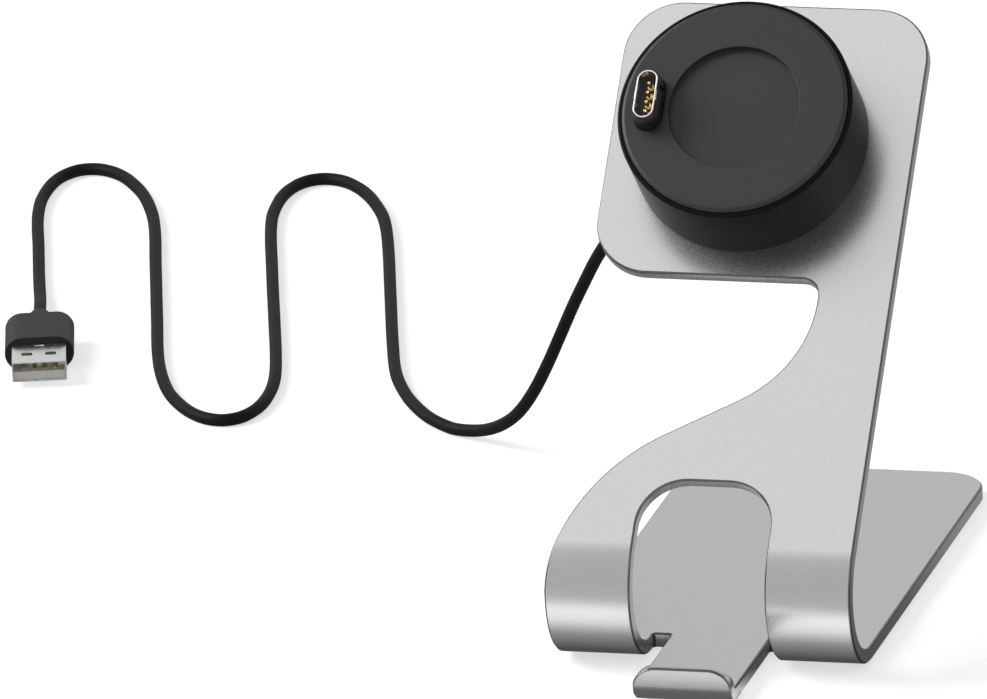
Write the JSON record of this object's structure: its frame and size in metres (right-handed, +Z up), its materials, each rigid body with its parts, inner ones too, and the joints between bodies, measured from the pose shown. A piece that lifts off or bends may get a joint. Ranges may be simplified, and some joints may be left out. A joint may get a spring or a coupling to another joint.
{
  "type": "watch charging dock",
  "caption": "Bent sheet-metal charging stand for a round watch, with a raised round puck, a spring-pin connector, and a cord with a rectangular plug lying on the table.",
  "frame": {"origin": "centre of the stand's own box at the height of the table, without the free cord and its plug", "axes": "+X to the right across the sheet as seen from the front, +Y to the back, +Z up"},
  "size_m": [0.2613, 0.3247, 0.1281],
  "materials": {
    "stand_sheet": "satin anodised",
    "foot_pads": "matt",
    "housing": "gloss",
    "cover": "satin",
    "connector_plastic": "satin",
    "connector_metal": "polished",
    "pin_gold": "gold plated",
    "spring_steel": "bright",
    "board": "satin",
    "screws": "satin",
    "boot": "matt",
    "cord_sheath": "satin",
    "plug_body": "fine grain",
    "plug_metal": "plated",
    "plug_insulator": "matt",
    "wire_red": "satin",
    "wire_white": "satin",
    "wire_green": "satin",
    "wire_black": "satin"
  },
  "bodies": {
    "dock": {"stand": "stand_sheet", "foot_pad_1": "foot_pads", "foot_pad_2": "foot_pads", "foot_pad_3": "foot_pads", "foot_pad_4": "foot_pads", "puck_housing": "housing", "puck_cover": "cover", "connector_holder": "connector_plastic", "connector_shell": "connector_metal", "pin_block": "connector_plastic", "pin_barrel_1": "pin_gold", "pin_barrel_2": "pin_gold", "pin_barrel_3": "pin_gold", "pin_barrel_4": "pin_gold", "pin_spring_1": "spring_steel", "pin_spring_2": "spring_steel", "pin_spring_3": "spring_steel", "pin_spring_4": "spring_steel", "circuit_board": "board", "board_screw_1": "screws", "board_screw_2": "screws", "wire_1": "wire_red", "wire_2": "wire_white", "wire_3": "wire_green", "wire_4": "wire_black", "puck_screw_1": "screws", "puck_screw_2": "screws", "puck_screw_3": "screws", "strain_relief": "boot", "cord": "cord_sheath", "plug_overmould": "plug_body", "plug_shell": "plug_metal", "plug_tongue": "plug_insulator", "plug_contact_1": "pin_gold", "plug_contact_2": "pin_gold", "plug_contact_3": "pin_gold", "plug_contact_4": "pin_gold"},
    "pin_1": {"pin_plunger_1": "pin_gold"},
    "pin_2": {"pin_plunger_2": "pin_gold"},
    "pin_3": {"pin_plunger_3": "pin_gold"},
    "pin_4": {"pin_plunger_4": "pin_gold"}
  },
  "joints": [
    {"name": "pin_1_press", "type": "slide", "parent": "dock", "child": "pin_1", "axis": [0, 0.7071, -0.7071], "range_m": [0, 0.001], "stiffness_N_per_m": 600, "springref_m": -0.0008, "deforming": ["pin_spring_1"]},
    {"name": "pin_2_press", "type": "slide", "parent": "dock", "child": "pin_2", "axis": [0, 0.7071, -0.7071], "range_m": [0, 0.001], "stiffness_N_per_m": 600, "springref_m": -0.0008, "deforming": ["pin_spring_2"]},
    {"name": "pin_3_press", "type": "slide", "parent": "dock", "child": "pin_3", "axis": [0, 0.7071, -0.7071], "range_m": [0, 0.001], "stiffness_N_per_m": 600, "springref_m": -0.0008, "deforming": ["pin_spring_3"]},
    {"name": "pin_4_press", "type": "slide", "parent": "dock", "child": "pin_4", "axis": [0, 0.7071, -0.7071], "range_m": [0, 0.001], "stiffness_N_per_m": 600, "springref_m": -0.0008, "deforming": ["pin_spring_4"]}
  ]
}
